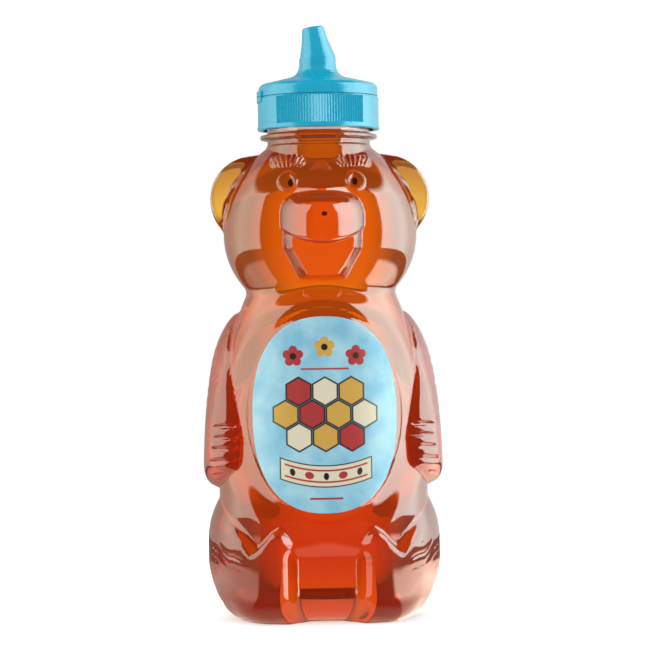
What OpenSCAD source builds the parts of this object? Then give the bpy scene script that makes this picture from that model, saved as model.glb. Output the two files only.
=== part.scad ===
// Honey bear bottle: a blow-moulded squeeze bottle in the shape of a seated bear, full of honey,
// with a screw closure that has a flip-top lid over a tall spout. The bear faces -Y, +Z is up,
// and the origin is on the floor, on the axis of the neck.

/* [Head] */
// Half width of the head
head_w = 33; // [30:0.5:35]
// Half depth of the head without the muzzle
head_d = 25.6; // [24.6:0.2:27]
// Half height of the head's oval above its middle
head_h = 35.3; // [34.5:0.1:36]
// Half height of the same oval below its middle, where the chin is
chin_h = 29.4; // [28.6:0.2:31]
// Height of the middle of the head above the floor
head_z = 131; // [130.5:0.1:131.5]
// How square the head and the belly are across, where 2 is an ellipse
square = 2.6; // [2:0.1:3]
// How far the upper muzzle stands out
muzzle_rise = 9.2; // [7.6:0.2:9.6]
// Half height of the upper muzzle
muzzle_h = 12; // [11:0.1:13]
// Half width of the upper muzzle
muzzle_w = 14.2; // [13:0.1:15]
// How far the jaw stands out
jaw_rise = 5.2; // [4:0.2:6]
// Half width of the jaw where it meets the smile
jaw_w = 13.2; // [12:0.2:14]
// How far the nose stands out from the muzzle
nose_rise = 0.5; // [0.3:0.1:0.8]
// How far the bridge between the eyes stands out
bridge_rise = 4.2; // [3:0.1:5]
// How far out the ears reach from the axis
ear_reach = 37.4; // [36.4:0.1:38.4]
// Height of the middle of the ears
ear_z = 143.2; // [142.6:0.2:144]
// Radius of the ears' round outline
ear_r = 15; // [14:0.2:16]
// How far the ears' faces lie in front of the axis
ear_front = 4; // [3.5:0.1:4.5]
// How far the ears' backs lie behind the axis
ear_back = 7.5; // [6.5:0.1:8]
// Radius of the raised eyes
eye_r = 3.4; // [3:0.1:4]
// How far the eyes stand out
eye_rise = 1; // [0.8:0.1:1.4]
// Half the distance between the eyes
eye_x = 11; // [9.5:0.1:12]

/* [Body] */
// Half width of the belly
belly_w = 35.6; // [34:0.2:37]
// Half depth of the belly in front
belly_d = 29.5; // [28:0.5:31]
// Height of the widest part of the belly
belly_z = 42; // [40:1:44]
// Height above that at which the belly's outline would close
belly_h = 88; // [86:0.5:90]
// How far back the rump reaches
rump_y = 34.4; // [33:0.2:35]
// How far the arms stand out from the sides
arm_rise = 5.4; // [4.5:0.1:6]
// Height of the middle of the arms
arm_z = 75.2; // [74:0.2:77]
// Half height of the arms
arm_h = 30.2; // [29:0.2:31]
// How far out the thighs reach from the axis
thigh_reach = 39.6; // [38.5:0.2:41]
// Height of the thighs' highest point
thigh_h = 41.4; // [39:0.2:43]
// How far forward the flat soles of the feet lie
sole_y = 33; // [32:0.5:34]
// Half the angle between the inner edges of the feet, in degrees
foot_gap = 19.5; // [18:0.5:21]
// How far forward the lap lies between the feet
lap_y = 25.5; // [24:0.5:27]
// Radius of the rounded edge of the base
base_corner = 9; // [7:0.5:11]
// How far the hollow middle of the base is pushed up
push_up = 1.6; // [1:0.2:3]
// Wall of the blown bottle
wall = 0.8; // [0.6:0.1:1]

/* [Neck] */
// Outer radius of the neck
neck_r = 17.55; // [17.3:0.05:17.7]
// Wall of the neck
neck_wall = 1.7; // [1.4:0.1:2]
// Height of the rim above the floor
rim_z = 175.7; // [175.4:0.1:176.2]
// Radius of the ring under the thread
bead_r = 20; // [19.4:0.1:20.4]
// Height of the middle of that ring
bead_z = 164.3; // [164:0.1:164.6]
// Rise of the screw thread in one turn
pitch = 4.233; // [4.1:0.001:4.4]
// How far the thread stands out from the neck
thread_depth = 1.2; // [1:0.05:1.25]
// Turns of thread on the neck
thread_turns = 1.25; // [1:0.05:1.25]

/* [Label] */
// Width of the label
label_w = 48.4; // [44:0.2:50]
// Height of the label
label_h = 65.4; // [62:0.2:67]
// Thickness of the label
label_t = 0.12; // [0.1:0.01:0.2]
// Height of the label's middle
label_z = 70.2; // [69.6:0.2:71]
// Radius that the label's panel is bent to
panel_r = 39; // [37:0.5:41]
// Lean of the panel away from upright, in degrees
panel_lean = 4.4; // [3.5:0.1:5]
// How far the panel stands out from the belly
panel_rise = 0.7; // [0.5:0.1:1]
// Width of panel left bare round the label
panel_margin = 2.4; // [2:0.1:3]

/* [Contents and seals] */
// Height of the honey in the neck
fill_z = 166; // [163:0.5:170]
// Thickness of the foil seal on the rim
foil_t = 0.2; // [0.1:0.05:0.3]
// Thickness of the foam ring in the closure
liner_t = 0.8; // [0.6:0.05:0.9]
// Width of the foam ring
liner_w = 8; // [5:0.5:9]

/* [Closure] */
// Outer radius of the closure over its ribs
cap_r = 20.7; // [20.5:0.05:21]
// Height of the closure's lower edge above the floor
cap_z = 166.8; // [166.4:0.1:167]
// Thickness of the closure's deck
deck_t = 1.2; // [1:0.1:1.4]
// Height of the plain lip under the ribs
lip_h = 1.6; // [1.2:0.1:2.4]
// Number of grip ribs there would be all round
rib_count = 136; // [96:4:144]
// Half the angle at the hinge, and opposite it, that has no ribs, in degrees
rib_free = 45; // [30:5:60]
// Depth of the grooves between the ribs
rib_depth = 0.3; // [0.2:0.05:0.4]
// Height of the spout above the deck
spout_h = 14; // [13:0.2:14]
// Outer radius of the spout's tip
spout_tip_r = 2.7; // [2.6:0.05:2.8]
// Outer radius of the spout's foot
spout_foot_r = 5.3; // [5:0.05:5.6]
// Wall of the spout
spout_wall = 1.2; // [1:0.05:1.3]

/* [Lid] */
// Outer radius of the lid
lid_r = 20.4; // [20:0.05:20.5]
// Height of the lid's upright band
lid_band = 2.4; // [2:0.1:2.8]
// Radius of the lid's rounded shoulder
shoulder_r = 2; // [1.5:0.1:2.4]
// Wall of the lid
lid_wall = 1.1; // [0.9:0.05:1.2]
// Slope of the dome, in degrees
dome_slope = 13.5; // [12:0.5:16]
// Radius of the sweep from the dome up to the horn
dome_sweep = 4.5; // [4:0.1:5]
// Radius of the upright foot of the hollow horn that covers the spout
horn_foot_r = 6.3; // [6.2:0.05:6.6]
// Height above the seam at which the horn starts to narrow
horn_foot_h = 13.2; // [12.8:0.1:14]
// Radius of the horn where its shoulder ends
horn_mid_r = 4.55; // [4.4:0.05:4.8]
// Height of the horn's shoulder
horn_shoulder = 6; // [5:0.1:7]
// Radius of the horn's tip
horn_tip_r = 3.8; // [3.6:0.05:4]
// Height of the horn above its foot
horn_h = 11; // [10.5:0.1:12]
// Lean of the horn towards the hinge, in degrees
horn_lean = 8; // [6:0.5:9]
// Width of the bendable hinge strap
hinge_w = 14; // [10:0.5:16]

/* [Fits] */
// Gap between honey and wall, so that the two solids stay apart
honey_gap = 0.3; // [0.2:0.05:0.5]
// Gap between the threads and the walls that they pass
thread_gap = 0.3; // [0.2:0.05:0.35]
// Gap at faces that meet when the closure is shut
seat_gap = 0.15; // [0.1:0.01:0.2]

/* [Hidden] */
$fn = 96;

// The skin of the bear is a grid of points. Each is worked out as a radius round the axis at an
// azimuth, 0 in front and positive towards +X, and at a height.
side_azimuths = [6, 12, 17, 21.5, 24.5, 28, 33, 38, 44, 50, 56, 62, 68, 74, 79, 82.5, 84.5, 88, 94, 100,
    104, 108, 114, 122, 134, 150, 165];
azimuths = concat([0], side_azimuths, [180], [for (i = [len(side_azimuths) - 1:-1:0])
    -side_azimuths[i]]);
// Share of the base that the standing ring's inner edge lies at, and the height at which the
// outline of the base is taken
stand_share = 0.75;
base_edge = 0.35;
neck_bore = neck_r - neck_wall;
collar_r = neck_r + 0.6;
skin_top = head_z + head_h * sqrt(1 - pow(collar_r / head_w, 2));
waist_z = head_z - 19.5;
function spread(from, to, count) = [for (i = [1:count]) from + (to - from) * i / count];
base_rows = [for (t = [0:15:60]) base_corner * (1 - cos(t))];
levels = concat(base_rows, spread(base_corner / 2, waist_z, 23), spread(waist_z, skin_top, 14));

// Half width of an oval of half width w and half height h at a distance t from its middle
function oval(w, h, t, n = 2) = w * pow(max(0, 1 - pow(abs(t) / h, n)), 1 / n);
// Radius at azimuth a of an oval of half width w and half depth d
function polar(a, w, d, n = 2) = w <= 0 ? 0 : pow(pow(abs(sin(a)) / w, n) + pow(abs(cos(a)) / d, n), -1 / n);
// Larger and smaller of two lengths, with a corner rounded by size k
function soft_max(a, b, k) = max(a, b) + pow(max(k - abs(a - b), 0), 2) / (4 * k);
function soft_min(a, b, k) = min(a, b) - pow(max(k - abs(a - b), 0), 2) / (4 * k);
// Rises smoothly from 0 to 1 as x goes from 0 to 1
function ease(x) = let (t = min(1, max(0, x))) t * t * (3 - 2 * t);
// Rises from 0 to 1 at an even slope that levels off, as x goes from 0 to 1
function settle(x) = let (t = min(1, max(0, x))) t * (2 - t);
// Quarter-round rise from 0 at a rim to 1 at a depth of 1 inside it, and the same for a region
// with three or four rims
function pillow(d) = sqrt(max(0, 1 - pow(1 - min(1, max(0, d)), 2)));
function rounded(depths) = pillow(1 - norm([for (d = depths) max(0, 1 - d)]));
// A lobe falls from 1 at its middle to 0 on an oval rim of half sizes da and dz
function lobe(a, z, z0, da, dz, power) = pow(max(0, 1 - pow(a / da, 2) - pow((z - z0) / dz, 2)), power);

// The head is squarer across below the ears' tops than at the neck. Under the smile the jaw is a
// wedge with slanting side walls.
jaw_wall = 3.4;
function head_at(a, z) = let (
    n = 2 + (square - 2) * min(1, max(0, (head_z + 25 - z) / 12)),
    h = z > head_z ? head_h : chin_h,
    plain = polar(a, oval(head_w, h, z - head_z), oval(head_d, h, z - head_z), n),
    x = abs(a) < 90 ? plain * sin(a) : head_w,
    smile = head_z - 3.9 + 0.03 * x * x,
    upper = muzzle_rise * ease((z - smile) / 1.6 + 0.5)
        * max(0, 1 - pow(abs(x) / muzzle_w, 1.6) - pow((z - head_z - 3) / muzzle_h, 4)),
    jaw_edge = jaw_w + 0.54 * min(0, z - head_z + 5.4),
    jaw = jaw_rise * min(1, max(0, (jaw_edge - abs(x)) / jaw_wall))
        * ease((smile + 1.2 - z) / 1.6 + 0.5) * ease((z - head_z + 16.4) / 2.5),
    bridge = min(bridge_rise, (head_z + 25 - z) * 0.42) * ease((z - head_z - 7) / 5)
        - 0.5 * (norm([x, 1.1]) - 1.1),
    nose = nose_rise * lobe(a, z, head_z + 11, 14, 5, 1))
    plain + max(upper, jaw, abs(a) < 60 ? bridge : 0) + nose;
function belly_at(a, z) = let (
    w = z < belly_z ? oval(belly_w, belly_z + 8, z - belly_z, 3)
        : oval(belly_w, belly_h, z - belly_z, 2.4))
    polar(a, w, w * belly_d / belly_w, square)
    + (rump_y - belly_d) * lobe(180 - abs(a), z, belly_z, 70, belly_z - 2, 1);
// The front of the belly is bent to one radius where the label's panel lies
panel_y = belly_d - 1;
function panel_c(z) = panel_r - panel_y + (z - label_z) * tan(panel_lean);
function panel_at(a, z) = sqrt(pow(panel_r, 2) - pow(panel_c(z) * sin(a), 2)) - panel_c(z) * cos(a);
function panel_share(a, z) = abs(a) > 75 ? 0 : let (x = panel_at(a, z) * sin(a),
    far = norm([x / (label_w / 2 + panel_margin + 2), (z - label_z) / (label_h / 2 + panel_margin + 1)]))
    ease((1.25 - far) * 4);
// Between the feet the belly falls back to the lap, which comes a little forward at the floor
function lap_at(a, z) = (lap_y + (belly_d - lap_y + 4.5) * ease((z - 21) / 12)
    + 2.2 * ease((12 - z) / 5)) / cos(a) + max(0, abs(a) - 28) * 0.6;
// Azimuth of the arm's front edge for each height, as a share of its half height from its middle
arm_edge = [[-1.03, 78], [-1, 73], [-0.894, 62], [-0.703, 57], [-0.46, 56.5], [-0.269, 59.5],
    [-0.025, 64], [0.558, 71], [0.918, 77], [1.225, 82]];
// Length of an arc of one degree at the limbs
arc = 36 * PI / 180;
function arm_at(a, z) = arm_rise * rounded([(abs(a) - lookup((z - arm_z) / arm_h, arm_edge)) * arc / 5,
    (116 - abs(a)) * arc / 14, (arm_z + arm_h - z) / 19.6, (z - arm_z + arm_h) / 8]);
// Height of the leg's top edge for each azimuth, as a share of the thigh's highest point: the
// toe, the notch behind it and the thigh
leg_edge = [[0, 0.6], [19, 0.68], [24, 0.76], [27, 0.785], [31, 0.755], [37, 0.675], [43, 0.615],
    [46, 0.67], [49, 0.725], [56, 0.81], [65, 0.9], [74, 0.965], [82, 1], [95, 1],
    [110, 0.95], [125, 0.76], [136, 0.44], [180, 0]];
leg_square = 2.3;
function leg_at(a, z, belly) = belly + max(0, polar(a, thigh_reach, sole_y, leg_square) - belly)
    * ease((abs(a) - foot_gap) * arc / 5) * settle((142 - abs(a)) * arc / 18)
    * settle((lookup(abs(a), leg_edge) * thigh_h - z) / (3 + 11 * ease((abs(a) - 40) / 40)));
// The legs draw in a little towards the floor, and the edge of the base is rounded
function draw_in(a, z) = 1 - 0.1 * pow(min(1, max(0, (20 - z) / 14)), 1.6) * ease((abs(a) - 40) / 30);
function base_inset(z) = z > base_corner ? 0 : base_corner - oval(base_corner, base_corner, base_corner - z);
function trunk_at(a, z) = let (
    share = panel_share(a, z),
    whole = belly_at(a, z) * (1 - share) + (share > 0 ? panel_at(a, z) * share : 0),
    belly = abs(a) < 60 ? soft_min(whole, lap_at(a, z), 2) : whole)
    max(belly + arm_at(a, z), leg_at(a, z, belly)) * draw_in(a, z) - base_inset(z);
// An ear is an upright disc with a flat face and back
function ear_at(a, z, inset) = let (
    v = (z - ear_z) / (ear_r - inset),
    out = ear_reach - ear_r + (ear_r - inset) * oval(1, 1, v),
    thick = abs(v) < 1 ? sqrt(1 - pow(v, 4)) : 0)
    abs(v) >= 1 || abs(a) < 60 || abs(a) > 125 ? 0
    : soft_min(soft_min(out / sin(abs(a)), (ear_front - inset) * thick / max(cos(a), 0.001), 8),
        (ear_back - inset) * thick / max(-cos(a), 0.001), 6);

// The skin, set in by a wall or not
function skin_at(a, z, inset) = max(
    soft_max(soft_max(trunk_at(a, z), head_at(a, z), 2.5) - inset, ear_at(a, z, inset), 1.5),
    z > head_z ? collar_r - inset : 0);

// One ring of points for each row. Row 0 is the standing ring's inner edge. Every ring is kept
// between the heights low and high, where a hollow's floor and ceiling lie.
rows = len(levels) + 1;
function ring(row, inset, low, high) = let (
    z = row == 0 ? 0 : levels[row - 1],
    share = row == 0 ? stand_share : 1)
    [for (a = azimuths) let (r = share * skin_at(a, max(z, base_edge), inset))
        [r * sin(a), -r * cos(a), min(high, max(z, low))]];
function rings(inset, low, high = rim_z) = [for (row = [0:rows - 1]) each ring(row, inset, low, high)];
// The triangles between two rings of points that start at p and q
function band(p, q) = let (n = len(azimuths)) [for (i = [0:n - 1]) let (j = (i + 1) % n)
    each [[p + i, q + j, p + j], [p + i, q + i, q + j]]];
function fan(p, tip) = let (n = len(azimuths)) [for (i = [0:n - 1]) [p + i, p + (i + 1) % n, tip]];
function flipped(faces) = [for (f = faces) [f[2], f[1], f[0]]];

function skin_faces(p) = let (n = len(azimuths))
    [for (row = [0:rows - 2]) each band(p + row * n, p + (row + 1) * n)];

// A closed shell between the skin and the same skin set in by the wall, open at the top
module bear_shell() {
    n = len(azimuths);
    inner = rows * n;
    tips = 2 * inner;
    polyhedron(
        points = concat(rings(0, 0), rings(wall, wall), [[0, 0, push_up], [0, 0, push_up + wall]]),
        faces = concat(
            skin_faces(0),
            flipped(skin_faces(inner)),
            band(inner - n, tips - n),
            fan(0, tips),
            flipped(fan(inner, tips + 1))));
}

// A helical ridge of a given number of turns, which starts at azimuth 0 and height z and tapers
// out at both ends. It stands on radius root and reaches radius crest, inwards or outwards.
ridge_foot = 2.2;
ridge_top = 0.9;
ridge_step = 18;
module ridge(root, crest, z, turns) {
    count = floor(turns * 360 / ridge_step);
    buried = root < crest ? -0.3 : 0.3;
    function section(i) = let (
        a = i * ridge_step,
        grown = min(1, min(i, count - i) / 2 + 0.05),
        tip = root + (crest - root) * grown,
        mid = z + pitch * a / 360)
        [for (p = [[root + buried, -ridge_foot], [tip, -ridge_top], [tip, ridge_top],
            [root + buried, ridge_foot]]) [p[0] * cos(a), p[0] * sin(a), mid + p[1] / 2]];
    sides = [for (i = [0:count - 1], k = [0:3]) let (p = 4 * i + k, q = 4 * i + (k + 1) % 4)
        each [[p, q, q + 4], [p, q + 4, p + 4]]];
    ends = [[0, 2, 1], [0, 3, 2], [4 * count, 4 * count + 1, 4 * count + 2],
        [4 * count, 4 * count + 2, 4 * count + 3]];
    polyhedron(
        points = [for (i = [0:count]) each section(i)],
        faces = root < crest ? concat(sides, ends) : flipped(concat(sides, ends)));
}
// The neck's thread starts above the ring. The closure's runs midway between its turns.
thread_z = rim_z - 1.8 - ridge_foot / 2 - thread_turns * pitch;

module tube(r_out, r_in, h) {
    difference() {
        cylinder(r = r_out, h = h);
        translate([0, 0, -1]) cylinder(r = r_in, h = h + 2);
    }
}

module neck() {
    foot = skin_top - wall;
    difference() {
        union() {
            translate([0, 0, foot]) cylinder(r = neck_r, h = rim_z - foot);
            rotate_extrude() polygon([[neck_bore + 0.5, bead_z - 0.9], [bead_r - 0.4, bead_z - 0.7],
                [bead_r, bead_z - 0.3], [bead_r, bead_z + 0.3], [bead_r - 0.4, bead_z + 0.7],
                [neck_bore + 0.5, bead_z + 0.9]]);
            ridge(neck_r, neck_r + thread_depth, thread_z, thread_turns);
        }
        translate([0, 0, foot - 1]) cylinder(r = neck_bore, h = rim_z);
    }
}

// Everything that is bent round the panel is made about the panel's own leaning axis
module on_panel() {
    translate([0, 0, label_z]) rotate([-panel_lean, 0, 0])
        translate([0, panel_r - panel_y, -label_z]) children();
}
module panel_layer(inner, thick) {
    on_panel() translate([0, 0, label_z - label_h]) tube(inner + thick, inner, 2 * label_h);
}
module oval_prism(w, h, bend) {
    points = [for (t = [0:7.5:352.5]) let (c = cos(t), s = sin(t))
        [w / 2 * sign(c) * pow(abs(c), 2 / bend), h / 2 * sign(s) * pow(abs(s), 2 / bend)]];
    translate([0, 0, label_z]) rotate([90, 0, 0]) linear_extrude(2 * belly_d) polygon(points);
}

// Where an eye sits on the head, and which way the head faces there
eye_z = head_z + 17.3;
eye_a = asin(eye_x / head_at(asin(eye_x / head_d), eye_z));
eye_at = head_at(eye_a, eye_z);
eye_y = -eye_at * cos(eye_a);
eye_step = 4;
eye_turn = eye_a - atan2(head_at(eye_a + eye_step, eye_z) - head_at(eye_a - eye_step, eye_z),
    eye_at * eye_step * PI / 90);
eye_tip = atan2(head_at(eye_a, eye_z - eye_step) - head_at(eye_a, eye_z + eye_step), 2 * eye_step);
module eye_dome() {
    ball = (pow(eye_r, 2) + pow(eye_rise, 2)) / (2 * eye_rise);
    sunk = 0.4;
    translate([eye_at * sin(eye_a), eye_y, eye_z]) rotate([0, 0, eye_turn]) rotate([90 - eye_tip, 0, 0])
        intersection() {
            translate([0, 0, eye_rise - ball]) sphere(r = ball);
            translate([0, 0, -sunk]) cylinder(r = eye_r + 1, h = sunk + eye_rise + 1);
        }
}

module bottle() {
    color("orange") union() {
        bear_shell();
        neck();
        intersection() {
            panel_layer(panel_r - 0.5, panel_rise + 0.5);
            translate([0, 0, label_z]) rotate([90, 0, 0]) linear_extrude(2 * belly_d)
                scale([label_w / 2 + panel_margin, label_h / 2 + panel_margin]) circle(r = 1);
        }
        for (side = [0, 1]) mirror([side, 0, 0]) eye_dome();
    }
}

module honey() {
    n = len(azimuths);
    inset = wall + honey_gap;
    shoulder = skin_top - inset;
    color("orangered") union() {
        polyhedron(
            points = concat(rings(inset, inset, shoulder), [[0, 0, push_up + inset], [0, 0, shoulder]]),
            faces = concat(skin_faces(0), fan(0, n * rows),
                flipped(fan(n * (rows - 1), n * rows + 1))));
        translate([0, 0, skin_top - 3]) cylinder(r = neck_bore - honey_gap, h = fill_z - skin_top + 3);
    }
}

module foil_seal() {
    color("silver") translate([0, 0, rim_z]) cylinder(r = neck_r - seat_gap, h = foil_t);
}

module front_label() {
    color("lightblue") intersection() {
        panel_layer(panel_r + panel_rise + 0.05, label_t);
        oval_prism(label_w, label_h, 2.4);
    }
}

liner_z = rim_z + foil_t + seat_gap / 2;
deck_z = liner_z + liner_t + seat_gap;
seam_z = deck_z + deck_t;
cap_bore = neck_r + thread_depth + thread_gap;
liner_r = cap_bore - thread_gap;

module liner_ring() {
    color("ghostwhite") translate([0, 0, liner_z]) tube(liner_r, liner_r - liner_w, liner_t);
}

hinge_face = cap_r + 0.35;
hinge_h = 1.8;
// One half of the hinge strap, from the fold line down or up
module hinge_half(z) {
    intersection() {
        translate([0, 0, z]) tube(hinge_face, lid_r - lid_wall + 0.3, hinge_h);
        translate([-2 * cap_r, -hinge_w / 2, z - 1]) cube([2 * cap_r, hinge_w, hinge_h + 2]);
    }
}
register_r = lid_r - lid_wall - 1.2;
register_h = 1.5;

// How far round the closure's thread starts, so that all of it lies above the closure's lower edge
cap_thread_turn = 240;

module cap_base() {
    rib_top = seam_z - 0.6;
    ribs = [for (i = [0:2 * rib_count - 1]) let (a = i * 180 / rib_count,
        ribbed = abs(sin(a)) > sin(rib_free), r = cap_r - (ribbed ? (i % 2) * rib_depth : 0))
        [r * cos(a), r * sin(a)]];
    color("deepskyblue") difference() {
        union() {
            // plain lip, a little wider than the ribs
            translate([0, 0, cap_z]) rotate_extrude() polygon([[cap_bore - 1, 0], [cap_r + 0.1, 0],
                [cap_r + 0.25, 0.3], [cap_r + 0.08, lip_h], [cap_bore - 1, lip_h]]);
            // ribbed grip
            translate([0, 0, cap_z + lip_h]) linear_extrude(rib_top - cap_z - lip_h)
                polygon(ribs);
            translate([0, 0, rib_top]) cylinder(r1 = cap_r - 0.05, r2 = cap_r - 0.4, h = seam_z - rib_top);
            // ring that centres the lid, and the spout
            translate([0, 0, seam_z - 0.5]) cylinder(r = register_r, h = register_h + 0.5);
            translate([0, 0, seam_z]) cylinder(r1 = spout_foot_r, r2 = spout_tip_r, h = spout_h);
            hinge_half(seam_z - hinge_h);
        }
        translate([0, 0, cap_z - 1]) cylinder(r = cap_bore, h = deck_z - cap_z + 1);
        translate([0, 0, seam_z]) difference() {
            cylinder(r = register_r - 1, h = register_h + 1);
            translate([0, 0, -1]) cylinder(r1 = spout_foot_r + (spout_foot_r - spout_tip_r) / spout_h,
                r2 = spout_tip_r, h = spout_h + 1);
        }
        translate([0, 0, deck_z - 1]) cylinder(r1 = spout_foot_r - spout_wall + 0.3,
            r2 = spout_tip_r - spout_wall, h = spout_h + deck_t + 1.001);
    }
    color("deepskyblue") rotate([0, 0, cap_thread_turn])
        ridge(cap_bore, neck_r + thread_gap, thread_z - pitch / 2 + pitch * cap_thread_turn / 360, 1);
}

lid_z = seam_z + seat_gap;
horn_z = seam_z + horn_foot_h;
foot_x = horn_foot_r + dome_sweep;
dome_x = lid_r - shoulder_r * (1 - sin(dome_slope));
sweep_z = lid_z + lid_band + shoulder_r * cos(dome_slope) + dome_sweep * cos(dome_slope)
    + (dome_x - foot_x + dome_sweep * sin(dome_slope)) * tan(dome_slope);
// Outline of the lid, set in by a wall: an upright band, a rounded shoulder, a shallow cone and
// a sweep up to the foot of the horn
module lid_profile(inset) {
    low = lid_z - (inset > 0 ? 1 : 0);
    bend = shoulder_r - inset;
    sweep = dome_sweep + inset;
    polygon(concat(
        [[0, low], [lid_r - inset, low]],
        [for (t = [0:(90 - dome_slope) / 6:90 - dome_slope])
            [lid_r - shoulder_r + bend * cos(t), lid_z + lid_band + bend * sin(t)]],
        [for (t = [dome_slope:(90 - dome_slope) / 6:90])
            [foot_x - sweep * sin(t), sweep_z - sweep * cos(t)]],
        [[horn_foot_r - inset, horn_z], [0, horn_z]]));
}
// The horn above its upright foot leans as a whole
module horn(inset) {
    tip_round = 0.9;
    top = horn_h - inset;
    tip = horn_tip_r - inset;
    translate([0, 0, horn_z]) rotate([0, -horn_lean, 0]) rotate_extrude()
        polygon(concat([[0, -1.5], [horn_foot_r - inset - 0.4, -1.5], [horn_foot_r - inset - 0.1, 0],
            [horn_mid_r - inset, horn_shoulder]],
            [for (t = [0:22.5:90]) [tip - tip_round * (1 - cos(t)), top - tip_round * (1 - sin(t))]],
            [[0, top]]));
}

module lid() {
    pin_z = seam_z + spout_h - 0.3;
    color("skyblue") difference() {
        union() {
            rotate_extrude() lid_profile(0);
            horn(0);
            hinge_half(lid_z);
        }
        rotate_extrude() lid_profile(lid_wall);
        horn(lid_wall);
    }
    // pin that closes the spout
    color("skyblue") translate([0, 0, pin_z])
        cylinder(r = spout_tip_r - spout_wall - 0.4, h = horn_z + horn_h - lid_wall / 2 - pin_z);
}

bottle();
honey();
foil_seal();
front_label();
liner_ring();
cap_base();
lid();
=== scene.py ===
"""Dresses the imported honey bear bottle: the blown skin, the honey, the label, the closure and the
studio. All sizes in the functions are in millimetres, and meshes are written in metres."""

import math

import bpy
import numpy as np
from bpy.props import FloatProperty, FloatVectorProperty, PointerProperty
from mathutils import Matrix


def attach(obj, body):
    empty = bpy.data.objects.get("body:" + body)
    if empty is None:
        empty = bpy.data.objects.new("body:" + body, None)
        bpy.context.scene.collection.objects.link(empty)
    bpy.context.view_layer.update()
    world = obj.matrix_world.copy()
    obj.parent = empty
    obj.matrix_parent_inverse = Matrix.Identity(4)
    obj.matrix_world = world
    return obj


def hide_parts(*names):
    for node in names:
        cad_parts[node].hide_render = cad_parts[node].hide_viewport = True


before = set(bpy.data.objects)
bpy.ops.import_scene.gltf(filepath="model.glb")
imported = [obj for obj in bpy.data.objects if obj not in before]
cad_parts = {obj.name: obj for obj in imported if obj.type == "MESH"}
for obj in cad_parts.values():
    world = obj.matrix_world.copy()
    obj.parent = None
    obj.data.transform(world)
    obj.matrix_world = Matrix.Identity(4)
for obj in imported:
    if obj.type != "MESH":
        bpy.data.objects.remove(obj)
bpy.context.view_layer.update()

bl_info = {
    "name": "Honey bear bottle",
    "version": (1, 0, 0),
    "blender": (4, 5, 0),
    "location": "View3D > Sidebar > Honey bear",
    "description": "Builds the skin, honey, label and closure of a bear-shaped squeeze bottle",
    "category": "Add Mesh",
}

MM = 0.001


def millimetres(label, value, about):
    """One size of the bear, in millimetres."""
    return FloatProperty(name=label, description=about, default=value)


class BearSizes(bpy.types.PropertyGroup):
    """Sizes of the bear's skin, neck, label and closure, in millimetres"""
    head_w: millimetres("Head half width", 33, "Half width of the head")
    head_d: millimetres("Head half depth", 25.6, "Half depth of the head without the muzzle")
    head_h: millimetres("Head half height", 35.3, "Half height of the head's oval above its middle")
    chin_h: millimetres("Chin half height", 29.4, "Half height of the same oval below its middle")
    head_z: millimetres("Head height", 131, "Height of the middle of the head")
    muzzle_rise: millimetres("Muzzle", 9.2, "How far the upper muzzle stands out")
    muzzle_h: millimetres("Muzzle half height", 12, "Half height of the upper muzzle")
    muzzle_w: millimetres("Muzzle half width", 14.2, "Half width of the upper muzzle")
    jaw_rise: millimetres("Jaw", 4.7, "How far the jaw stands out")
    jaw_w: millimetres("Jaw half width", 13.2, "Half width of the jaw where it meets the smile")
    nose_rise: millimetres("Nose", 0.5, "How far the nose stands out from the muzzle")
    bridge_rise: millimetres("Bridge", 4.2, "How far the bridge between the eyes stands out")
    ear_reach: millimetres("Ear reach", 37.4, "How far out the ears reach from the axis")
    ear_z: millimetres("Ear height", 143.2, "Height of the middle of the ears")
    ear_r: millimetres("Ear radius", 15, "Radius of the ears' round outline")
    ear_front: millimetres("Ear front", 4, "How far the ears' faces lie in front of the axis")
    ear_back: millimetres("Ear back", 7.5, "How far the ears' backs lie behind the axis")
    ear_dish: millimetres("Ear dish", 2.6, "How deep the ears' faces are pressed in")
    eye_x: millimetres("Eye", 11, "Half the distance between the eyes")
    belly_w: millimetres("Belly half width", 35.6, "Half width of the belly")
    belly_d: millimetres("Belly half depth", 29.5, "Half depth of the belly in front")
    belly_z: millimetres("Belly height", 42, "Height of the widest part of the belly")
    belly_h: millimetres("Belly taper", 88, "Height above its widest part at which the belly would close")
    rump_y: millimetres("Rump", 34.4, "How far back the rump reaches")
    arm_rise: millimetres("Arm", 5.4, "How far the arms stand out from the sides")
    arm_z: millimetres("Arm height", 75.2, "Height of the middle of the arms")
    arm_h: millimetres("Arm half height", 30.2, "Half height of the arms")
    thigh_reach: millimetres("Thigh reach", 39.6, "How far out the thighs reach from the axis")
    thigh_h: millimetres("Thigh height", 41.4, "Height of the thighs' highest point")
    sole_y: millimetres("Sole", 33, "How far forward the flat soles of the feet lie")
    lap_y: millimetres("Lap", 25.5, "How far forward the lap lies between the feet")
    base_corner: millimetres("Base corner", 9, "Radius of the rounded edge of the base")
    push_up: millimetres("Push-up", 1.6, "How far the middle of the base is pushed up")
    neck_r: millimetres("Neck radius", 17.55, "Outer radius of the neck")
    rim_z: millimetres("Rim height", 175.7, "Height of the neck's rim")
    bead_r: millimetres("Ring radius", 20, "Radius of the ring under the thread")
    bead_z: millimetres("Ring height", 164.3, "Height of the middle of that ring")
    fill_z: millimetres("Fill height", 166, "Height of the honey in the neck")
    wall: millimetres("Wall", 0.8, "Wall of the blown skin")
    label_w: millimetres("Label width", 48.4, "Width of the label")
    label_h: millimetres("Label height", 65.4, "Height of the label")
    label_z: millimetres("Label middle", 70.2, "Height of the label's middle")
    panel_r: millimetres("Panel radius", 39, "Radius that the label's panel is bent to")


def colour(label, value, about):
    """One colour of the bottle, as linear red, green and blue."""
    return FloatVectorProperty(name=label, description=about, size=3, subtype="COLOR", default=value)


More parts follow.
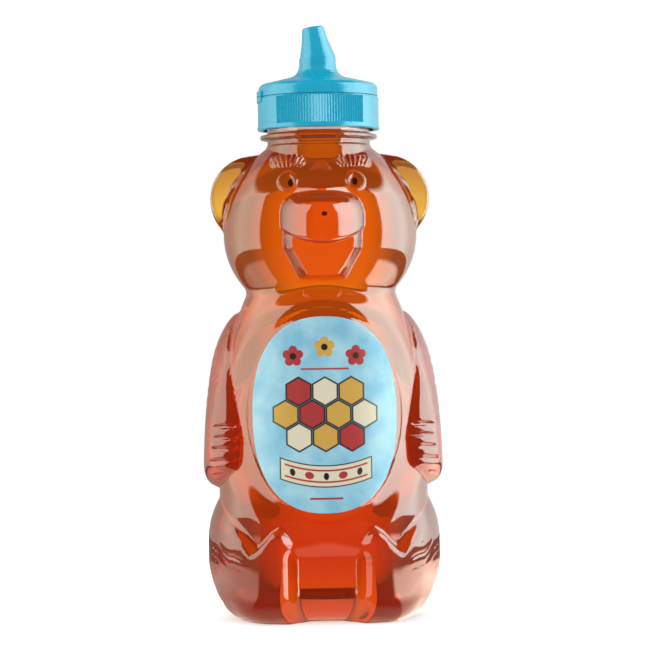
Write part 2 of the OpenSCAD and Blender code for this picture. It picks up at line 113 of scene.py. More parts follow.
class BearColours(bpy.types.PropertyGroup):
    """Colours of the bottle's materials"""
    honey: FloatVectorProperty(name="Honey absorption", description="Light taken by each millimetre of honey",
                               size=3, default=(0.0035, 0.042, 0.20))
    closure: colour("Closure", (0.0, 0.35, 0.53), "Moulded closure")
    sky: colour("Label sky", (0.20, 0.50, 0.67), "Pale blue ground of the label")
    cloud: colour("Label cloud", (0.38, 0.66, 0.76), "Paler mottle of the ground")
    band: colour("Label band", (0.72, 0.66, 0.48), "Cream band across the label")
    red: colour("Label red", (0.42, 0.03, 0.03), "Red print of the label")
    gold: colour("Label gold", (0.62, 0.36, 0.06), "Golden cells of the label")
    dark: colour("Label dark", (0.02, 0.012, 0.01), "Dark print of the label and the eyes")


def sizes():
    return bpy.context.scene.bear_sizes


def colours():
    return bpy.context.scene.bear_colours


# Shapes. A radius is measured round the neck's axis, at an azimuth in degrees, 0 in front and
# positive towards +X, and at a height.

SQUARE = 2.6
PANEL_LEAN = math.radians(4.4)
PANEL_RISE = 0.7
PANEL_MARGIN = 2.4
BASE_EDGE = 0.35
LIMB_ARC = 36 * math.pi / 180
JAW_WALL = 4.4


def oval(w, h, t, n=2.0):
    """Half width, at distance t from the middle, of an oval of half sizes w and h: the nth powers
    of both shares add up to 1."""
    return w * np.maximum(0, 1 - np.abs(t / h) ** n) ** (1 / n)


def polar(a, w, d, n=2.0):
    """Radius at angle a of an oval of half width w and half depth d."""
    w, d = np.maximum(w, 1e-6), np.maximum(d, 1e-6)
    return (np.abs(np.sin(a) / w) ** n + np.abs(np.cos(a) / d) ** n) ** (-1 / n)


def soft_max(a, b, k):
    """The larger of two radii, with a rounded corner of size k where they cross."""
    return np.maximum(a, b) + np.maximum(k - np.abs(a - b), 0) ** 2 / (4 * k)


def soft_min(a, b, k):
    """The smaller of two radii, with a rounded corner of size k where they cross."""
    return np.minimum(a, b) - np.maximum(k - np.abs(a - b), 0) ** 2 / (4 * k)


def ease(x):
    """Rises smoothly from 0 to 1 as x goes from 0 to 1."""
    x = np.clip(x, 0, 1)
    return x * x * (3 - 2 * x)


def settle(x):
    """Rises from 0 to 1 at an even slope that levels off, as x goes from 0 to 1."""
    x = np.clip(x, 0, 1)
    return x * (2 - x)


def pillow(d):
    """Quarter-round rise from 0 at a rim to 1 at a depth of 1 inside it."""
    return np.sqrt(np.maximum(0, 1 - (1 - np.clip(d, 0, 1)) ** 2))


def rounded(*depths):
    """The same rise for a region with several rims."""
    return pillow(1 - np.sqrt(sum(np.maximum(0, 1 - d) ** 2 for d in depths)))


def lobe(deg, z, z0, da, dz, power):
    """Falls from 1 in front at height z0 to 0 on an oval rim of half sizes da and dz."""
    return np.maximum(0, 1 - (deg / da) ** 2 - ((z - z0) / dz) ** 2) ** power


def head_plain(deg, z):
    """The head without its face: an egg that is squarer across below the tops of the ears."""
    p = sizes()
    n = 2 + (SQUARE - 2) * np.clip((p.head_z + 25 - z) / 12, 0, 1)
    t, h = z - p.head_z, np.where(z > p.head_z, p.head_h, p.chin_h)
    return polar(np.radians(deg), oval(p.head_w, h, t), oval(p.head_d, h, t), n)


def head_radius(deg, z):
    """The egg with the upper muzzle, the jaw under the smile, the nose and the bridge added. The
    jaw is a wedge with slanting side walls."""
    p = sizes()
    plain = head_plain(deg, z)
    x = np.where(np.abs(deg) < 90, plain * np.sin(np.radians(deg)), p.head_w)
    smile = p.head_z - 3.9 + 0.03 * x * x
    upper = p.muzzle_rise * ease((z - smile) / 1.6 + 0.5) \
        * np.maximum(0, 1 - np.abs(x / p.muzzle_w) ** 1.6 - ((z - p.head_z - 3) / p.muzzle_h) ** 4)
    jaw_edge = p.jaw_w + 0.54 * np.minimum(0, z - p.head_z + 5.4)
    jaw = p.jaw_rise * np.clip((jaw_edge - np.abs(x)) / JAW_WALL, 0, 1) \
        * ease((smile + 1.2 - z) / 1.6 + 0.5) * ease((z - p.head_z + 16.4) / 2.5)
    bridge = np.minimum(p.bridge_rise, (p.head_z + 25 - z) * 0.42) * ease((z - p.head_z - 7) / 5) \
        - 0.5 * (np.sqrt(x * x + 1.2) - 1.1)
    muzzle = np.maximum.reduce([upper, jaw, bridge * (np.abs(deg) < 60)])
    groove = 0.5 * np.exp(-((z - smile) / 0.6) ** 2) * ease((11 - np.abs(x)) / 2)
    nose = p.nose_rise * lobe(deg, z, p.head_z + 11, 14, 5, 1)
    return plain + muzzle - groove * (muzzle > 0.1) + nose


def face_relief(deg, z):
    """Rings and discs of the eyes, and the ribbed brows over them."""
    p = sizes()
    x = np.abs(head_plain(deg, z) * np.sin(np.radians(deg)))
    far = np.hypot(x - p.eye_x, z - p.head_z - 17.3)
    eye = 1.0 * np.exp(-((far - 2.75) / 0.62) ** 2) + 0.35 * (far < 2.75)
    u = (x - p.eye_x) / 6
    fan = x - p.eye_x - 0.12 * (z - p.head_z - 23.7) * (x - p.eye_x)
    ribs = 0.5 + 0.5 * np.cos(2 * math.pi * fan / 1.33)
    low, high = p.head_z + 22.6 - 0.6 * u * u, p.head_z + 26.8 - 0.8 * u * u
    brow = 1.05 * ribs * ease((6.0 - np.abs(x - p.eye_x)) / 0.8) * ease((z - low) / 0.6) * ease((high - z) / 0.6)
    return (eye + brow) * (np.abs(deg) < 80)


def ear_radius(deg, z):
    """An upright disc with a flat face and back."""
    p = sizes()
    a = np.radians(np.abs(deg))
    v = (z - p.ear_z) / p.ear_r
    out = p.ear_reach - p.ear_r + p.ear_r * oval(1, 1, v)
    thick = np.maximum(0, 1 - v ** 4) ** 0.5
    r = soft_min(soft_min(out / np.maximum(np.sin(a), 1e-3), p.ear_front * thick / np.maximum(np.cos(a), 1e-4), 8),
                 p.ear_back * thick / np.maximum(-np.cos(a), 1e-4), 6)
    return np.where((np.abs(v) < 1) & (np.abs(deg) > 60) & (np.abs(deg) < 125), r, 0)


def ear_dish(points):
    """How far back, towards +Y, the faces of the ears are pressed in."""
    p = sizes()
    x, y, z = np.abs(points[..., 0]), points[..., 1], points[..., 2]
    far = np.hypot((x - 26.5) / 5.4, (z - p.ear_z) / 7.4)
    return p.ear_dish * ease((1.25 - far) / 0.35) * (x > 18) * np.clip((2 - y) / 4, 0, 1)


def panel_centre(z):
    """Distance of the label cylinder's leaning axis behind the neck's axis."""
    p = sizes()
    return p.panel_r - (p.belly_d - 1) + (z - p.label_z) * math.tan(PANEL_LEAN)


def panel_radius(a, z):
    """Radius at which the leaning cylinder of the label's panel lies."""
    c = panel_centre(z)
    return np.sqrt(np.maximum(1, sizes().panel_r ** 2 - (c * np.sin(a)) ** 2)) - c * np.cos(a)


def belly_radius(deg, z):
    """The squarish belly and rump, the label's panel with its raised oval, and the lap."""
    p = sizes()
    a, ad = np.radians(deg), np.abs(deg)
    w = np.where(z < p.belly_z, oval(p.belly_w, p.belly_z + 8, z - p.belly_z, 3.0),
                 oval(p.belly_w, p.belly_h, z - p.belly_z, 2.4))
    belly = polar(a, w, w * p.belly_d / p.belly_w, SQUARE)
    belly = belly + (p.rump_y - p.belly_d) * lobe(180 - ad, z, p.belly_z, 70, p.belly_z - 2, 1)
    panel = panel_radius(a, z)
    x = panel * np.sin(a)
    far = np.hypot(x / (p.label_w / 2 + PANEL_MARGIN + 2), (z - p.label_z) / (p.label_h / 2 + PANEL_MARGIN + 1))
    share = np.where(ad > 75, 0, ease((1.25 - far) / 0.25))
    belly = belly * (1 - share) + panel * share
    raised = np.hypot(x / (p.label_w / 2 + PANEL_MARGIN), (z - p.label_z) / (p.label_h / 2 + PANEL_MARGIN))
    belly = belly + np.where(ad > 75, 0, PANEL_RISE * ease((1 - raised) / 0.07))
    lap = p.lap_y + (p.belly_d - p.lap_y + 4.5) * ease((z - 21) / 12) + 2.2 * ease((12 - z) / 5)
    lap = lap / np.maximum(np.cos(a), 0.3) + np.maximum(0, ad - 28) * 0.6
    return np.where(ad < 60, soft_min(belly, lap, 2.0), belly)


# The arm's front edge as pairs of height, in shares of the arm's half height, and azimuth; the
# leg's top edge as pairs of azimuth and height, in shares of the thigh's height
ARM_EDGE = np.array([(-1.03, 78), (-1, 73), (-0.894, 62), (-0.703, 57), (-0.46, 56.5), (-0.269, 59.5),
                     (-0.025, 64), (0.558, 71), (0.918, 77), (1.225, 82)]).T
LEG_EDGE = np.array([(0, 0.6), (21, 0.68), (26.5, 0.765), (29.5, 0.785), (33, 0.755), (38, 0.675), (43, 0.615),
                     (46, 0.67), (49, 0.725), (56, 0.81), (65, 0.9), (74, 0.965), (82, 1), (95, 1), (110, 0.95),
                     (125, 0.76), (136, 0.44), (180, 0)]).T
LEG_SQUARE = 2.3
FOOT_GAP = 19.5


def arm_height(deg, z):
    """How far the arms stand out from the belly, with grooves between the fingers and fur."""
    p = sizes()
    ad = np.abs(deg)
    edge = np.interp((z - p.arm_z) / p.arm_h, *ARM_EDGE)
    inside = (ad - edge) * LIMB_ARC
    swell = 0.18 * pillow(inside) + 0.82 * settle(inside / 14)
    arm = p.arm_rise * rounded(1 - np.sqrt(1 - swell ** 2), (116 - ad) * LIMB_ARC / 14, (p.arm_z + p.arm_h - z) / 19.6,
                               (z - p.arm_z + p.arm_h) / 8)
    fingers = sum(np.exp(-((z - h + 0.12 * (inside - 4)) / 0.55) ** 2) for h in (66.2, 62.6, 58.8, 54.7, 51))
    grooves = 1.0 * fingers * ease(inside / 1.0) * ease((10 - inside) / 4)
    waves = np.cos(2 * math.pi * (z + 1.1 * np.sin(ad / 3.1) + 0.25 * ad) / 3.4)
    fur = 0.42 * np.maximum(0, waves) ** 3 * ease((z - 69) / 4) * ease((101 - z) / 5) \
        * ease((inside - 3) / 3) * ease((104 - ad) / 8)
    return np.maximum(0, arm - grooves - fur * (arm > 1))


def leg_radius(deg, z, belly):
    """Thighs and feet, which rise from the belly inside the leg's top edge, with faint fur."""
    p = sizes()
    ad = np.abs(deg)
    depth = np.interp(ad, *LEG_EDGE) * p.thigh_h - z
    leg = polar(np.radians(deg), p.thigh_reach, p.sole_y, LEG_SQUARE)
    waves = np.cos(2 * math.pi * (z - 0.35 * ad + 0.8 * np.sin(ad / 2.9)) / 3.6)
    fur = 0.1 * np.maximum(0, waves) ** 4 * ease((ad - 46) / 5) * ease((100 - ad) / 10) * ease((depth - 4) / 4) \
        * ease((z - 12) / 5)
    rise = ease((ad - FOOT_GAP) * LIMB_ARC / 5) * settle((142 - ad) * LIMB_ARC / 18) \
        * settle(depth / (3 + 11 * ease((ad - 40) / 40)))
    return belly + np.maximum(leg - belly, 0) * rise - fur


def skin_radius(deg, z):
    """The whole skin: trunk, head, ears and the collar under the neck, joined by soft maxima."""
    p = sizes()
    ad = np.abs(deg)
    belly = belly_radius(deg, z)
    trunk = np.maximum(belly + arm_height(deg, z), leg_radius(deg, z, belly))
    trunk = trunk * (1 - 0.1 * np.clip((20 - z) / 14, 0, 1) ** 1.6 * ease((ad - 40) / 30))
    c = p.base_corner
    trunk = trunk - np.where(z < c, c - oval(c, c, np.maximum(0, c - z)), 0)
    head = head_radius(deg, z) + face_relief(deg, z)
    r = soft_max(soft_max(trunk, head, 2.5), ear_radius(deg, z), 1.5)
    return np.maximum(r, np.where(z > p.head_z, collar_radius(), 0))


def collar_radius():
    return sizes().neck_r + 0.6


def skin_top():
    """Height at which the egg of the head meets the collar."""
    p = sizes()
    return p.head_z + p.head_h * math.sqrt(1 - (collar_radius() / p.head_w) ** 2)


PITCH, THREAD_DEPTH, THREAD_TURNS = 4.233, 1.2, 1.25


def neck_radius(deg, z):
    """The neck: a plain tube with a ring, and a helical thread that tapers out at both ends."""
    p = sizes()
    ring = (p.bead_r - p.neck_r) * pillow((0.95 - np.abs(z - p.bead_z)) / 0.45)
    start = p.rim_z - 1.8 - 1.1 - THREAD_TURNS * PITCH
    height = np.zeros(np.broadcast(deg, z).shape)
    for whole in range(2):
        turn = (deg + 90) / 360 % 1 + whole
        far = np.abs(z - start - PITCH * turn)
        grown = np.clip((THREAD_TURNS - turn) * 8, 0, 1) * np.clip(turn * 8, 0, 1)
        height = np.maximum(height, THREAD_DEPTH * grown * np.clip((1.1 - far) / 0.65, 0, 1))
    foot = 0.6 * ease((skin_top() + 1.6 - z) / 1.6)
    return p.neck_r + foot + np.maximum(ring, height)


# Grids

def spaced(breaks):
    """Values from pairs of a start and the step that holds from there to the next start."""
    parts = [np.arange(lo, hi - step / 3, step) for (lo, step), (hi, _) in zip(breaks[:-1], breaks[1:])]
    return np.concatenate(parts)


def both_sides(half):
    """Azimuths all round from those between 0 and 180."""
    return np.concatenate([half, [180.0], -half[:0:-1]])


FINE_AZIMUTHS = both_sides(spaced([(0, 0.75), (36, 1.2), (50, 1.1), (74, 0.8), (90, 1.0), (110, 2.2), (150, 3), (180, 0)]))


def around(deg, r, z):
    """Points on a ring or a grid of rings."""
    a = np.radians(deg)
    r, z = np.broadcast_arrays(r, z)
    return np.stack([r * np.sin(a), -r * np.cos(a), z], -1)


def add_mesh(name, points, faces, smooth=True):
    """Makes an object from points in millimetres and faces as rows of point numbers."""
    mesh = bpy.data.meshes.new(name)
    mesh.from_pydata((np.asarray(points) * MM).tolist(), [], faces)
    mesh.update()
    if smooth:
        mesh.shade_smooth()
    ob = bpy.data.objects.new(name, mesh)
    bpy.context.scene.collection.objects.link(ob)
    return ob


def closed_rings(name, rings):
    """A closed surface over a stack of rings of points, with a fan at each end. The quads between
    ring i and ring i + 1 join the points of the same column and the next."""
    rings = np.asarray(rings)
    rows, cols = rings.shape[:2]
    r, c = np.meshgrid(np.arange(rows - 1), np.arange(cols), indexing="ij")
    a, b = r * cols + c, r * cols + (c + 1) % cols
    faces = np.stack([a, b, b + cols, a + cols], -1).reshape(-1, 4).tolist()
    first, last = np.arange(cols), (rows - 1) * cols + np.arange(cols)
    tip = rows * cols
    faces += np.stack([np.roll(first, -1), first, np.full(cols, tip)], -1).tolist()
    faces += np.stack([last, np.roll(last, -1), np.full(cols, tip + 1)], -1).tolist()
    points = np.concatenate([rings.reshape(-1, 3), [rings[0].mean(0), rings[-1].mean(0)]])
    return add_mesh(name, points, faces)


def skin_rows():
    """Heights of the rings: close together at the rounded base, at the paws and at the face."""
    c = sizes().base_corner
    base = c * (1 - np.cos(np.radians(np.linspace(0, 60, 12))))[:-1]
    steps = [(c / 2, 1.0), (18, 0.7), (70, 1.0), (112, 0.5), (122, 0.42), (skin_top(), 0)]
    return np.concatenate([base, spaced(steps), [skin_top()]])


def skin_rings(inset, floor, top, deg):
    """Rings of the skin, set in by inset, from the pushed-up middle of the base to the height
    top, and never lower than floor."""
    p = sizes()
    z = skin_rows()
    z = z[z <= top][:, None]
    high = np.broadcast_to(z, (len(z), len(deg)))
    points = around(deg, skin_radius(deg, np.maximum(high, BASE_EDGE)) - inset, np.maximum(high, floor))
    points[..., 1] += ear_dish(points) * np.clip(ear_radius(deg, high) - head_radius(deg, high), 0, 1)
    base = skin_radius(deg, np.full(len(deg), BASE_EDGE)) - inset
    share = np.array([0.2, 0.5, 0.68, 0.75])[:, None]
    lift = np.array([1, 0.85, 0.3, 0])[:, None] * p.push_up
    return np.concatenate([around(deg, share * base, np.maximum(lift, 0) + floor), points])


# Node helpers

def new_material(name):
    m = bpy.data.materials.new(name)
    m.use_nodes = True
    nt = m.node_tree
    return m, nt, nt.nodes["Principled BSDF"]


def feed(nt, socket, value):
    """Links an output to a socket, or sets the socket to a number or a colour."""
    if hasattr(value, "is_output"):
        nt.links.new(value, socket)
    elif isinstance(value, (int, float)):
        socket.default_value = value
    else:
        socket.default_value = (*value, 1)


def calc(nt, op, *values):
    n = nt.nodes.new("ShaderNodeMath")
    n.operation = op
    for i, v in enumerate(values):
        feed(nt, n.inputs[i], v)
    return n.outputs[0]


def mix_colour(nt, mask, a, b):
    n = nt.nodes.new("ShaderNodeMix")
    n.data_type = "RGBA"
    for name, v in (("Factor", mask), ("A", a), ("B", b)):
        feed(nt, next(s for s in n.inputs if s.name == name and s.enabled), v)
    return next(s for s in n.outputs if s.enabled)


def mix_number(nt, share, a, b):
    """a where share is 0 and b where it is 1."""
    span = calc(nt, "SUBTRACT", b, a)
    return calc(nt, "ADD", calc(nt, "MULTIPLY", share, span), a)


def ramp(nt, value, low, high, start=0.0, end=1.0):
    """Goes from start to end as value goes from low to high, and stays level outside."""
    n = nt.nodes.new("ShaderNodeMapRange")
    feed(nt, n.inputs["Value"], value)
    for name, v in (("From Min", low), ("From Max", high), ("To Min", start), ("To Max", end)):
        n.inputs[name].default_value = v
    return n.outputs[0]


def between(nt, value, low, high, soft=0.12):
    """1 where value is between low and high."""
    return calc(nt, "MULTIPLY", ramp(nt, value, low - soft, low + soft), ramp(nt, value, high + soft, high - soft))


def object_xyz(nt):
    """Object coordinates in millimetres: x, y, z and the vector."""
    tc = nt.nodes.new("ShaderNodeTexCoord")
    sep = nt.nodes.new("ShaderNodeSeparateXYZ")
    scale = nt.nodes.new("ShaderNodeVectorMath")
    scale.operation = "SCALE"
    scale.inputs["Scale"].default_value = 1 / MM
    nt.links.new(tc.outputs["Object"], scale.inputs[0])
    nt.links.new(scale.outputs[0], sep.inputs[0])
    return sep.outputs[0], sep.outputs[1], sep.outputs[2], scale.outputs[0]


def noise(nt, vector, scale, detail=2.0):
    n = nt.nodes.new("ShaderNodeTexNoise")
    n.inputs["Scale"].default_value = scale
    n.inputs["Detail"].default_value = detail
    nt.links.new(vector, n.inputs["Vector"])
    return n.outputs["Fac"]


def spot(nt, x, z, cx, cz, rx, rz):
    """1 inside an oval about (cx, cz), falling off over its edge."""
    dx = calc(nt, "DIVIDE", calc(nt, "SUBTRACT", x, cx), rx)
    dz = calc(nt, "DIVIDE", calc(nt, "SUBTRACT", z, cz), rz)
    return ramp(nt, calc(nt, "ADD", calc(nt, "MULTIPLY", dx, dx), calc(nt, "MULTIPLY", dz, dz)), 1.15, 0.85)


# Materials

def clear_skin_material():
    """Clear glossy PET, a little cloudy in places, with the pupils and the nose in dark ink."""
    p = sizes()
    m, nt, b = new_material("clear_skin")
    x, y, z, v = object_xyz(nt)
    eye_z = p.head_z + 17.1
    eyes = calc(nt, "MAXIMUM", spot(nt, x, z, -p.eye_x + 0.7, eye_z - 0.3, 0.95, 1.3),
                spot(nt, x, z, p.eye_x + 0.2, eye_z, 0.95, 1.3))
    ink = calc(nt, "MAXIMUM", eyes, spot(nt, x, z, 0.4, p.head_z + 5.9, 1.0, 0.8))
    ink = calc(nt, "MULTIPLY", ink, calc(nt, "LESS_THAN", y, 0))
    clear = mix_colour(nt, noise(nt, v, 0.25), (1.0, 0.98, 0.96), (0.98, 0.95, 0.91))
    nt.links.new(mix_colour(nt, ink, clear, colours().dark), b.inputs["Base Color"])
    b.inputs["Roughness"].default_value = 0.02
    b.inputs["IOR"].default_value = 1.57
    b.inputs["Transmission Weight"].default_value = 1
    return m


# Painted glow of the honey, standing in for the light that cloudy honey scatters back, as linear red, green and blue
HONEY_PAINTED_GLOW = (0.045, 0.013, 0.003)


def honey_material():
    """Clear amber honey that takes light by its depth, with a painted glow for the light it scatters back and painted
    shade that darkens its tint by height. Its surface bends no light, because the skin around it already does."""
    m, nt, b = new_material("amber_honey")
    x, y, z, v = object_xyz(nt)
    # Painted shade: the tint darkens by height, most low in the belly and in the neck under the closure, a little less
    # right at the base
    tint_with_painted_shade = mix_colour(nt, ramp(nt, z, 50, 28), (1.0, 0.92, 0.7), (0.8, 0.32, 0.3))
    tint_with_painted_shade = mix_colour(nt, ramp(nt, z, 18, 8), tint_with_painted_shade, (0.92, 0.55, 0.45))
    tint_with_painted_shade = mix_colour(nt, ramp(nt, z, 138, 156), tint_with_painted_shade, (0.57, 0.33, 0.4))
    b.inputs["Base Color"].default_value = (1, 1, 1, 1)
    nt.links.new(mix_colour(nt, calc(nt, "MULTIPLY", noise(nt, v, 0.04), 0.12), tint_with_painted_shade, (0.8, 0.6, 0.4)), b.inputs["Base Color"])
    # Painted glow: the honey emits a faint amber light of its own
    b.inputs["Emission Color"].default_value = (*HONEY_PAINTED_GLOW, 1)
    b.inputs["Emission Strength"].default_value = 1
    b.inputs["Roughness"].default_value = 0
    b.inputs["IOR"].default_value = 1.0
    b.inputs["Transmission Weight"].default_value = 1
    take = np.array(colours().honey) / MM
    density = float(take.max() / 0.95)
    vol = nt.nodes.new("ShaderNodeVolumeAbsorption")
    vol.inputs["Density"].default_value = density
    vol.inputs["Color"].default_value = (*(1 - take / density), 1)
    nt.links.new(vol.outputs[0], nt.nodes["Material Output"].inputs["Volume"])
    return m


def moulded_material(name, tint, rough, milky=0.15):
    """Satin moulded plastic with faint flow clouds and a fine surface grain."""
    m, nt, b = new_material(name)
    x, y, z, v = object_xyz(nt)
    light = tuple(min(1, c * 1.12 + 0.004) for c in tint)
    nt.links.new(mix_colour(nt, noise(nt, v, 0.35), tuple(tint), light), b.inputs["Base Color"])
    nt.links.new(ramp(nt, noise(nt, v, 0.9), 0.3, 0.7, rough - 0.03, rough + 0.03), b.inputs["Roughness"])
    bump = nt.nodes.new("ShaderNodeBump")
    bump.inputs["Strength"].default_value = 0.02
    bump.inputs["Distance"].default_value = 0.0002
    nt.links.new(noise(nt, v, 4), bump.inputs["Height"])
    nt.links.new(bump.outputs[0], b.inputs["Normal"])
    b.inputs["Specular IOR Level"].default_value = 0.5
    b.inputs["Subsurface Weight"].default_value = milky
    b.inputs["Subsurface Radius"].default_value = (0.001, 0.002, 0.0025)
    return m


def foil_material():
    """Thin rolled foil."""
    m, nt, b = new_material("seal_foil")
    x, y, z, v = object_xyz(nt)
    nt.links.new(mix_colour(nt, noise(nt, v, 0.5), (0.72, 0.72, 0.74), (0.85, 0.85, 0.86)), b.inputs["Base Color"])
    b.inputs["Metallic"].default_value = 1
    b.inputs["Roughness"].default_value = 0.3
    return m


def cell(nt, x, z, cx, cz):
    """Distance from the middle of a six-sided cell, which is the same all along its edge."""
    dx = calc(nt, "ABSOLUTE", calc(nt, "SUBTRACT", x, cx))
    dz = calc(nt, "ABSOLUTE", calc(nt, "SUBTRACT", z, cz))
    return calc(nt, "MAXIMUM", dx, calc(nt, "ADD", calc(nt, "MULTIPLY", dx, 0.5), calc(nt, "MULTIPLY", dz, 0.866)))


CELL_R = 4.4


def label_material():
    """Printed film: a mottled pale blue sky with three flowers over a patch of honeycomb, and a
    bowed cream band with dots below it."""
    p = sizes()
    m, nt, b = new_material("label_print")
    c = colours()
    sky, cloud, band, red, gold, dark = (tuple(k) for k in (c.sky, c.cloud, c.band, c.red, c.gold, c.dark))
    x, y, z, v = object_xyz(nt)
    z = calc(nt, "SUBTRACT", z, p.label_z)
    ink = mix_colour(nt, ramp(nt, noise(nt, v, 0.11, 5), 0.35, 0.65), sky, cloud)
    across, up = CELL_R * 2, CELL_R * 1.732
    fills = {(0, 0): gold, (-1, 0): band, (1, 0): red, (-0.5, 1): red, (0.5, 1): gold, (-1.5, 1): gold,
             (1.5, 1): band, (0, 2): band, (-1, 2): red, (1, 2): gold}
    for (i, j), fill in fills.items():
        far = cell(nt, x, z, i * across, -7.5 + j * up)
        ink = mix_colour(nt, ramp(nt, far, CELL_R + 0.1, CELL_R - 0.15), ink, dark)
        ink = mix_colour(nt, ramp(nt, far, CELL_R - 0.45, CELL_R - 0.7), ink, fill)
    bow = calc(nt, "SUBTRACT", z, calc(nt, "MULTIPLY", calc(nt, "MULTIPLY", x, x), 0.012))
    wide = calc(nt, "ABSOLUTE", x)
    for low, high, reach, fill in ((-24.2, -16.8, 15.4, dark), (-23.8, -17.2, 15, band), (-18.9, -18.3, 13.8, red),
                                   (-22.7, -22.1, 13.8, red)):
        mask = calc(nt, "MULTIPLY", between(nt, bow, low, high), between(nt, wide, -1, reach))
        ink = mix_colour(nt, mask, ink, fill)
    for k in range(-2, 3):
        ink = mix_colour(nt, spot(nt, x, bow, k * 5.6, -20.5, 1.5 if k % 2 else 0.9, 1.2), ink, red if k % 2 else dark)
    for k, fill in ((-1, red), (0, gold), (1, red)):
        cx, cz = k * 10.5, 22.5 - 3 * abs(k)
        for petal in range(5):
            t = math.radians(90 + 72 * petal)
            ink = mix_colour(nt, spot(nt, x, z, cx + 2.1 * math.cos(t), cz + 2.1 * math.sin(t), 1.45, 1.45), ink, fill)
        ink = mix_colour(nt, spot(nt, x, z, cx, cz, 1.1, 1.1), ink, dark)
    for low, high, reach, fill in ((14.9, 15.5, 8, red), (-28.2, -27.5, 5.5, red)):
        ink = mix_colour(nt, calc(nt, "MULTIPLY", between(nt, z, low, high), between(nt, wide, -1, reach)), ink, fill)
    nt.links.new(ink, b.inputs["Base Color"])
    nt.links.new(ramp(nt, noise(nt, v, 1.5), 0.3, 0.7, 0.3, 0.38), b.inputs["Roughness"])
    return m


def white_world(scene):
    """White to the camera. To the object it is a studio: two broad soft boxes, one on each side,
    that grow weaker towards the back, and a dim gap in front between them."""
    w = bpy.data.worlds.new("white_world")
    scene.world = w
    w.use_nodes = True
    nt = w.node_tree
    tc = nt.nodes.new("ShaderNodeTexCoord")
    sep = nt.nodes.new("ShaderNodeSeparateXYZ")
    nt.links.new(tc.outputs["Generated"], sep.inputs[0])
    level, tint = studio_light(nt, sep.outputs[:3], STUDIO, THROUGH, 1.1, 1.0, (LEFT_TINT, RIGHT_TINT))
    nt.links.new(level, nt.nodes["Background"].inputs["Strength"])
    nt.links.new(tint, nt.nodes["Background"].inputs["Color"])


# Azimuth, in degrees from the front, from which the soft boxes stand on both sides, and how high
# they reach
BOX_FROM, BOX_TOP = 50, 46
# Brightness of the left box, the right box and the gap in front, for reflections
STUDIO = (4.8, 8.6, 0.03)
FLOOR_NEAR = (2.6, 8.0, 0.9, 0.03)
FLOOR_FAR = 0.3
LEFT_TINT, RIGHT_TINT, FLOOR_TINT = (0.9, 0.94, 0.78), (0.86, 1, 0.94), (1, 0.76, 0.6)
# Brightness at the sides, further back and straight behind, as seen through the honey
THROUGH = (0.24, 0.26, 0.9)
FLOOR_THROUGH = 0.55


def studio_light(nt, xyz, boxes, through, diffuse, camera, tints):
    """Brightness and colour along a direction, or at a place on the floor: the two soft boxes for
    reflections, a rise to the bright backdrop for what is seen through the honey, and plain levels
    for diffuse light and the camera. The boxes fade as mirroring grows stronger: by 1 / (1 + u u),
    with u = (azimuth - 90) / 26."""
    x, y, z = xyz
    flat = calc(nt, "SQRT", calc(nt, "ADD", calc(nt, "MULTIPLY", x, x), calc(nt, "MULTIPLY", y, y)))
    front = calc(nt, "DIVIDE", calc(nt, "MULTIPLY", y, -1.0), calc(nt, "MAXIMUM", flat, 0.0001))
    aside = calc(nt, "MULTIPLY", calc(nt, "ARCCOSINE", front), 180 / math.pi)
    rise = calc(nt, "MULTIPLY", calc(nt, "ARCTAN2", z, flat), 180 / math.pi)
    right = calc(nt, "GREATER_THAN", x, 0.0)
    left_level, right_level, gap = boxes
    side = mix_number(nt, right, left_level, right_level)
    back = calc(nt, "MAXIMUM", calc(nt, "DIVIDE", calc(nt, "SUBTRACT", aside, 90.0), 26.0), 0.0)
    side = calc(nt, "DIVIDE", side, calc(nt, "ADD", calc(nt, "MULTIPLY", back, back), 1.0))
    box = calc(nt, "MULTIPLY", ramp(nt, aside, BOX_FROM - 1.5, BOX_FROM + 1.5), ramp(nt, rise, BOX_TOP + 2, BOX_TOP - 2))
    mirrored = mix_number(nt, box, gap, side)
    if not hasattr(through, "is_output"):
        low, middle, high = through
        through = calc(nt, "ADD", ramp(nt, aside, 60, 140, low, middle), ramp(nt, aside, 149, 170, 0, high - middle))
    path = nt.nodes.new("ShaderNodeLightPath")
    seen_by_camera = path.outputs["Is Camera Ray"]
    rest = calc(nt, "SUBTRACT", 1.0, seen_by_camera)
    total = calc(nt, "MULTIPLY", seen_by_camera, camera)
    shares = []
    for share, value in ((path.outputs["Is Transmission Ray"], through), (path.outputs["Is Glossy Ray"], mirrored),
                         (1.0, diffuse)):
        shares.append(calc(nt, "MULTIPLY", rest, share))
        total = calc(nt, "ADD", total, calc(nt, "MULTIPLY", shares[-1], value))
        rest = calc(nt, "SUBTRACT", rest, shares[-1])
    return total, mix_colour(nt, shares[1], (1, 1, 1), mix_colour(nt, right, *tints))


